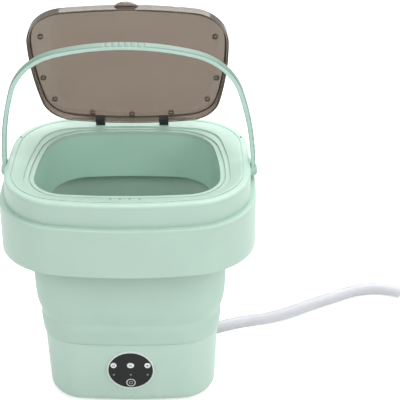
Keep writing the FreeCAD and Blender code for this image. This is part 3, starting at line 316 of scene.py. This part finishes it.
hose_curve = bpy.data.curves.new("drain_hose_line", "CURVE")
hose_curve.dimensions = "3D"
hose_line = hose_curve.splines.new("NURBS")
hose_line.points.add(len(hose_route) - 1)
for point, place in zip(hose_line.points, hose_route):
    point.co = [value / 1000 for value in place] + [1.0]
hose_line.order_u = 3
hose_line.use_endpoint_u = True
hose_line.resolution_u = 12
line_object = bpy.data.objects.new("drain_hose_line", hose_curve)
bpy.context.scene.collection.objects.link(line_object)
line_mesh = curve_mesh(line_object)
hose_curve.bevel_depth = hose_radius
hose_curve.bevel_resolution = 8
tube_mesh = curve_mesh(line_object)
bpy.data.objects.remove(line_object)
bpy.data.meshes.remove(line_mesh)
hose = bpy.data.objects.new("drain_hose_visual", tube_mesh)
bpy.context.scene.collection.objects.link(hose)
bpy.ops.object.select_all(action="DESELECT")
hose.select_set(True)
bpy.context.view_layer.objects.active = hose
close_seams()
hose_thickness = hose.modifiers.new("wall", "SOLIDIFY")
hose_thickness.thickness = hose_wall
hose_thickness.offset = -1.0
bpy.ops.object.modifier_apply(modifier="wall")
bpy.ops.object.shade_smooth_by_angle(angle=math.radians(40))

milky_vinyl, vinyl_tree, vinyl_shader, vinyl_place = start_material("milky_vinyl")
vinyl_cloud_mm = 18.0
vinyl_scatter = 0.008
vinyl_cloud = add_node(vinyl_tree, "ShaderNodeTexNoise",
                       {"Vector": vinyl_place, "Scale": 1000 / vinyl_cloud_mm})
vinyl_tint = add_node(vinyl_tree, "ShaderNodeMix",
                      {0: vinyl_cloud.outputs[0], 6: linear("e2e4eb"), 7: linear("ebedf3")},
                      data_type="RGBA")
vinyl_tree.links.new(vinyl_tint.outputs[2], vinyl_shader.inputs["Base Color"])
vinyl_shader.inputs["Roughness"].default_value = 0.28
vinyl_shader.inputs["Transmission Weight"].default_value = 0.3
vinyl_shader.inputs["IOR"].default_value = 1.5
vinyl_shader.inputs["Subsurface Weight"].default_value = 0.6
vinyl_shader.inputs["Subsurface Radius"].default_value = (1.0, 1.0, 1.0)
vinyl_shader.inputs["Subsurface Scale"].default_value = vinyl_scatter
hose.data.materials.append(milky_vinyl)
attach(hose, "base")
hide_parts("drain_hose")

# Folding bucket
# The tub wall is one soft thermoplastic-rubber moulding, clamped under the ring and under the tub
# floor. Above a soft fold at the base it swells and then flares upwards. The real wall shortens
# when the collar is pushed down; here it is fixed to the base.
tub_wall = 0.0024
foot_plan = {"half_width": 105.0, "half_depth": 86.0, "front_round": 684.0, "rear_round": 630.0,
             "side_round": 493.0, "front_corner": 44.0, "rear_corner": 51.0,
             "middle": 0.0, "widest": -30.0}
top_plan = {"half_width": 118.1, "half_depth": 93.1, "front_round": 674.1, "rear_round": 604.1,
            "side_round": 382.1, "front_corner": 52.1, "rear_corner": 63.1,
            "middle": -0.7, "widest": -34.0}
# Height, share of the way to the top outline and outward swell of each ring of the wall, in mm
wall_rings = [(89.5, 0.0, -14.0), (89.5, 0.0, -1.5), (90.0, 0.0, 0.0), (95.0, 0.0, 0.4),
              (101.0, 0.0, 0.9), (106.0, 0.0, 1.4), (109.5, 0.0, 1.6), (113.0, 0.0, 1.1),
              (116.0, 0.0, 0.4), (118.5, 0.03, 0.2), (122.0, 0.13, 0.3), (130.0, 0.3, 0.9),
              (138.0, 0.4, 1.0), (147.0, 0.47, 0.6), (157.0, 0.52, 0.2), (168.0, 0.57, 0.0),
              (182.0, 0.62, 0.0), (208.0, 0.72, 0.0), (245.0, 0.86, 0.0), (281.0, 1.0, 0.0),
              (282.5, 1.0, 1.0), (282.5, 1.0, 6.0)]
arc_steps = 5


def corner_centre(end, end_reach, side, side_reach):
    """Centre of the corner arc that touches an end arc and the right side arc."""
    line = side - end
    span = line.length
    line = line.normalized()
    along = (end_reach ** 2 - side_reach ** 2 + span ** 2) / (2 * span)
    across = math.sqrt(end_reach ** 2 - along ** 2)
    normal = Vector((line.y, -line.x))
    choices = [end + line * along + normal * sign * across for sign in (1, -1)]
    return max(choices, key=lambda point: point.x)


def grown(plan, amount):
    """The same outline, moved outwards all round."""
    still = ("middle", "widest")
    return {key: value if key in still else value + amount for key, value in plan.items()}


def outline_places(plan):
    """Points round an outline: bowed front, corners, sides and rear."""
    front = Vector((0, plan["middle"] - plan["half_depth"] + plan["front_round"]))
    rear = Vector((0, plan["middle"] + plan["half_depth"] - plan["rear_round"]))
    side = Vector((plan["half_width"] - plan["side_round"], plan["widest"]))
    near = corner_centre(front, plan["front_round"] - plan["front_corner"], side,
                         plan["side_round"] - plan["front_corner"])
    far = corner_centre(rear, plan["rear_round"] - plan["rear_corner"], side,
                        plan["side_round"] - plan["rear_corner"])
    ways = (near - front, near - side, far - side, far - rear)
    turns = [-math.pi / 2] + [math.atan2(way.y, way.x) for way in ways] + [math.pi / 2]
    arcs = [(front, plan["front_round"]), (near, plan["front_corner"]), (side, plan["side_round"]),
            (far, plan["rear_corner"]), (rear, plan["rear_round"])]
    right = []
    for (centre, radius), start, end in zip(arcs, turns, turns[1:]):
        for step in range(arc_steps):
            turn = start + (end - start) * step / arc_steps
            right.append(centre + Vector((math.cos(turn), math.sin(turn))) * radius)
    last = Vector((0, plan["middle"] + plan["half_depth"]))
    left = [Vector((-point.x, point.y)) for point in reversed(right[1:])]
    return right + [last] + left


def ring_wall(name, rings):
    """A wall extruded from ring to ring, each with its outline and height in mm."""
    # The radius and the lift hold only until a ring's points are set.
    start_radius = 0.1
    start_lift = (0, 0, 0.001)
    count = len(outline_places(rings[0][0]))
    bpy.ops.object.select_all(action="DESELECT")
    bpy.ops.mesh.primitive_circle_add(vertices=count, radius=start_radius)
    wall = bpy.context.object
    wall.name = name
    for row, (plan, height) in enumerate(rings):
        if row:
            bpy.ops.object.mode_set(mode="EDIT")
            bpy.ops.mesh.extrude_edges_move(TRANSFORM_OT_translate={"value": start_lift})
            bpy.ops.object.mode_set(mode="OBJECT")
        ring = wall.data.vertices[row * count:(row + 1) * count]
        for vertex, place in zip(ring, outline_places(plan)):
            vertex.co = (place.x / 1000, place.y / 1000, height / 1000)
    return wall


def smooth_form(obj):
    """Rounds the active piece between its rings."""
    smooth = obj.modifiers.new("smooth", "SUBSURF")
    smooth.levels = 2
    smooth.render_levels = 2
    bpy.ops.object.modifier_apply(modifier="smooth")


bucket_rings = []
for height, share, swell in wall_rings:
    ring_plan = {key: value + (top_plan[key] - value) * share for key, value in foot_plan.items()}
    bucket_rings.append((grown(ring_plan, swell), height))
bucket = ring_wall("folding_bucket_wall", bucket_rings)
close_seams()
smooth_form(bucket)
bucket_wall = bucket.modifiers.new("wall", "SOLIDIFY")
bucket_wall.thickness = tub_wall
bucket_wall.offset = -1.0
bpy.ops.object.modifier_apply(modifier="wall")
bpy.ops.object.shade_smooth_by_angle(angle=math.radians(50))
mint_tpr = moulded_plastic("mint_soft_rubber", "b1ccbf", "b9d4c7", 0.45, 0.58, 1.2, 0.06)
bucket.data.materials.append(mint_tpr)
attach(bucket, "base")
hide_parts("folding_bucket")
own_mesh(bucket)

# Vent plugs and notch shade inserts
# Two small dark rubber plugs pressed into the ring behind the handle, and four dark green inserts
# in the notches at the front, which follow the slope of the ring's band. The inserts are painted
# shade for the shade down in the notches.
# Painted shade: dark green inserts stand in for the shade inside the front notches.
notch_shade_paint = moulded_plastic("mint_painted_notch_shade", "66857a", "708f83", 0.6, 0.72, 0.9, 0.05)
vent_radius = 0.0013
vent_height = 0.002
vent_reach = 0.1325
vent_y = 0.0545
vent_z = 0.2943
notch_count = 4
notch_radius = 0.0017
notch_height = 0.0038
notch_pitch = 0.0108
notch_y = -0.0954
notch_z = 0.29088
band_fall_mm = 3.0
band_width_mm = 12.95
band_slope = math.atan2(band_fall_mm, band_width_mm)
plug_edge = 0.0003
plugs = [("vent_plug_" + side, vent_radius, vent_height, (x, vent_y, vent_z), 0.0, foot_rubber,
          "dark_plastic") for side, x in (("right", vent_reach), ("left", -vent_reach))]
plugs += [("notch_shade_insert_%d" % (index + 1), notch_radius, notch_height,
           (notch_pitch * (index - (notch_count - 1) / 2), notch_y, notch_z), -band_slope,
           notch_shade_paint, "soft_mint_rubber") for index in range(notch_count)]
for plug_name, radius, height, place, slope, rubber, slot_name in plugs:
    bpy.ops.object.select_all(action="DESELECT")
    bpy.ops.mesh.primitive_cylinder_add(vertices=24, radius=radius, depth=height, location=place,
                                        rotation=(slope, 0, 0))
    plug = bpy.context.object
    plug.name = plug_name
    bpy.ops.object.mode_set(mode="EDIT")
    bpy.ops.mesh.bevel(offset=plug_edge, segments=2)
    bpy.ops.object.mode_set(mode="OBJECT")
    bpy.ops.object.transform_apply(location=True, rotation=True, scale=True)
    plug.data.materials.append(rubber)
    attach(plug, "collar")

# Lid
# A shallow tray moulded in smoke-tinted clear polycarbonate on two dark hinges, with nine bumpers
# under it. The tint is brown-grey, and the wide panel is clear enough to see through.
smoked_polycarbonate, smoke_tree, smoke_shader, smoke_place = start_material("smoked_polycarbonate")
smoke_flow_mm = 80.0
smoke_flow = add_node(smoke_tree, "ShaderNodeTexNoise",
                      {"Vector": smoke_place, "Scale": 1000 / smoke_flow_mm})
smoke_tint = add_node(smoke_tree, "ShaderNodeMix",
                      {0: smoke_flow.outputs[0], 6: linear("84766c"), 7: linear("8a7c72")},
                      data_type="RGBA")
smoke_tree.links.new(smoke_tint.outputs[2], smoke_shader.inputs["Base Color"])
smoke_shader.inputs["Roughness"].default_value = 0.12
smoke_shader.inputs["IOR"].default_value = 1.58
smoke_shader.inputs["Transmission Weight"].default_value = 0.75
finish_node(smoked_polycarbonate, "lid_panel", "lid_bumpers")

# Lid corner shade bead
# A thin brown-black bead in the corner between the lid's skin and its wall: painted shade, giving
# the lid its dark inner line. It is laid out for the closed lid and then swung up with it.
lid_plan = {"half_width": 117.0, "half_depth": 90.5, "front_round": 600.0, "rear_round": 560.0,
            "side_round": 400.0, "front_corner": 47.0, "rear_corner": 40.0,
            "middle": -0.7, "widest": -34.0}
lid_wall = 2.7
skin_under = 298.8
bead_radius = 1.1
bead_seat = 0.8
bead_sides = 8
lid_open = math.radians(70.5)
lid_hinge = Vector((0, 0.0938, 0.297))
bead_rings = []
for index in range(bead_sides + 1):
    turn = 2 * math.pi * index / bead_sides
    inset = lid_wall + bead_radius * (bead_seat + math.cos(turn))
    bead_level = skin_under - bead_radius * (bead_seat + math.sin(turn))
    bead_rings.append((grown(lid_plan, -inset), bead_level))
shade_bead = ring_wall("lid_corner_shade_bead", bead_rings)
close_seams()
smooth_form(shade_bead)
lid_swing = Matrix.Rotation(-lid_open, 3, "X")
for vertex in shade_bead.data.vertices:
    vertex.co = lid_hinge + lid_swing @ (vertex.co - lid_hinge)
bpy.ops.object.shade_smooth_by_angle(angle=math.radians(60))
# Painted shade: the brown-black bead darkens the lid's inner corner.
shade_bead_paint = moulded_plastic("brown_black_painted_shade", "453c36", "4f463f", 0.5, 0.62, 0.8, 0.03)
shade_bead.data.materials.append(shade_bead_paint)
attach(shade_bead, "lid")

# Carrying handle
# One arched strip of brighter mint polypropylene on two headed pins, with finger ribs along its
# crown. Its outer side is painted darker and greyer: painted shade, standing in for the shade that
# falls on the strip's outer face.
bright_mint = moulded_plastic("bright_mint_polypropylene", "b8d8cc", "c0e0d5",
                              0.42, 0.52, 1.0, 0.03)
handle_tree = bright_mint.node_tree
handle_shader = handle_tree.nodes["Principled BSDF"]
unshaded_tint = handle_shader.inputs["Base Color"].links[0].from_socket
handle_place = add_node(handle_tree, "ShaderNodeTexCoord").outputs["Object"]
handle_middle = (0.0, -0.006, 0.33)
away = add_node(handle_tree, "ShaderNodeVectorMath", {0: handle_place, 1: handle_middle},
                operation="SUBTRACT")
away = add_node(handle_tree, "ShaderNodeVectorMath", {0: away.outputs[0]}, operation="NORMALIZE")
facing = add_node(handle_tree, "ShaderNodeNewGeometry").outputs["True Normal"]
facing = add_node(handle_tree, "ShaderNodeVectorTransform", {"Vector": facing},
                  vector_type="NORMAL", convert_from="WORLD", convert_to="OBJECT")
outward = add_node(handle_tree, "ShaderNodeVectorMath",
                   {0: facing.outputs[0], 1: away.outputs[0]}, operation="DOT_PRODUCT")
# Painted shade: the outer side of the strip is mixed towards a darker grey-green.
outer_side_painted_shade = add_node(handle_tree, "ShaderNodeMapRange",
                     {"Value": outward.outputs[1], "From Min": 0.35, "From Max": 0.6})
handle_tint_with_painted_shade = add_node(handle_tree, "ShaderNodeMix",
                       {0: outer_side_painted_shade.outputs[0], 6: unshaded_tint, 7: linear("7c9286")},
                       data_type="RGBA")
handle_tree.links.new(handle_tint_with_painted_shade.outputs[2], handle_shader.inputs["Base Color"])
finish_node(bright_mint, "handle", "handle_pins")


# Floor, light and camera
# A pale studio floor in a white room and three large soft lamps. The camera stands in front and
# above, as in the photo.
def seen_straight(tree):
    """One for rays from the camera, a gloss or clear plastic, zero for light that bounces."""
    rays = add_node(tree, "ShaderNodeLightPath").outputs
    seen = rays["Is Camera Ray"]
    for kind in ("Is Glossy Ray", "Is Transmission Ray"):
        seen = add_node(tree, "ShaderNodeMath", {0: seen, 1: rays[kind]},
                        operation="MAXIMUM").outputs[0]
    return seen


floor_size = 8.0
bpy.ops.object.select_all(action="DESELECT")
bpy.ops.mesh.primitive_plane_add(size=floor_size)
floor = bpy.context.object
floor.name = "studio_floor"
studio_floor = bpy.data.materials.new("studio_floor_paint")
studio_floor.use_nodes = True
floor_tree = studio_floor.node_tree
floor_tree.nodes.clear()
# Near the object the floor keeps its shadow, and far from it the floor runs into the white room.
floor_place = add_node(floor_tree, "ShaderNodeTexCoord").outputs["Object"]
floor_reach = add_node(floor_tree, "ShaderNodeVectorMath", {0: floor_place}, operation="LENGTH")
floor_level = add_node(floor_tree, "ShaderNodeMapRange",
                       {"Value": floor_reach.outputs[1], "From Min": 0.6, "From Max": 1.6,
                        "To Min": 0.55, "To Max": 1.0})
floor_fill = add_node(floor_tree, "ShaderNodeMath",
                      {0: seen_straight(floor_tree), 1: floor_level.outputs[0]},
                      operation="MULTIPLY")
floor_paint = add_node(floor_tree, "ShaderNodeBsdfDiffuse", {"Color": (0.8, 0.8, 0.8, 1.0)})
floor_glow = add_node(floor_tree, "ShaderNodeEmission", {"Strength": floor_fill.outputs[0]})
floor_sum = add_node(floor_tree, "ShaderNodeAddShader",
                     {0: floor_paint.outputs[0], 1: floor_glow.outputs[0]})
add_node(floor_tree, "ShaderNodeOutputMaterial", {"Surface": floor_sum.outputs[0]})
floor.data.materials.append(studio_floor)

room_glow = 0.32
world = bpy.data.worlds.new("studio_room")
bpy.context.scene.world = world
world.use_nodes = True
room_tree = world.node_tree
room_tree.nodes.clear()
room_level = add_node(room_tree, "ShaderNodeMapRange",
                      {"Value": seen_straight(room_tree), "To Min": room_glow, "To Max": 1.0})
room_light = add_node(room_tree, "ShaderNodeBackground",
                      {"Color": (1.0, 1.0, 1.0, 1.0), "Strength": room_level.outputs[0]})
add_node(room_tree, "ShaderNodeOutputWorld", {"Surface": room_light.outputs[0]})

lamp_aim = Vector((0, 0, 0.25))
lamps = [("key_lamp", (-1.1, -1.5, 1.9), 1.6, 22.0), ("fill_lamp", (1.5, -1.0, 1.5), 1.6, 21.5),
         ("back_lamp", (0.3, 0.9, 2.1), 2.0, 50.0)]
for lamp_name, place, size, power in lamps:
    lamp_data = bpy.data.lights.new(lamp_name, "AREA")
    lamp_data.size = size
    lamp_data.energy = power
    lamp = bpy.data.objects.new(lamp_name, lamp_data)
    bpy.context.scene.collection.objects.link(lamp)
    lamp.location = place
    lamp.rotation_euler = (lamp_aim - Vector(place)).to_track_quat("-Z", "Y").to_euler()

camera_tilt = 29.12
camera_data = bpy.data.cameras.new("photo_camera")
camera_data.sensor_width = 36.0
camera_data.lens = 117.4
camera_data.shift_y = 0.00275
camera = bpy.data.objects.new("photo_camera", camera_data)
bpy.context.scene.collection.objects.link(camera)
camera.location = (0.0835, -1.36, 0.9945)
camera.rotation_euler = (math.radians(90 - camera_tilt), 0, 0)
bpy.context.scene.camera = camera
bpy.context.scene.view_settings.view_transform = "Standard"
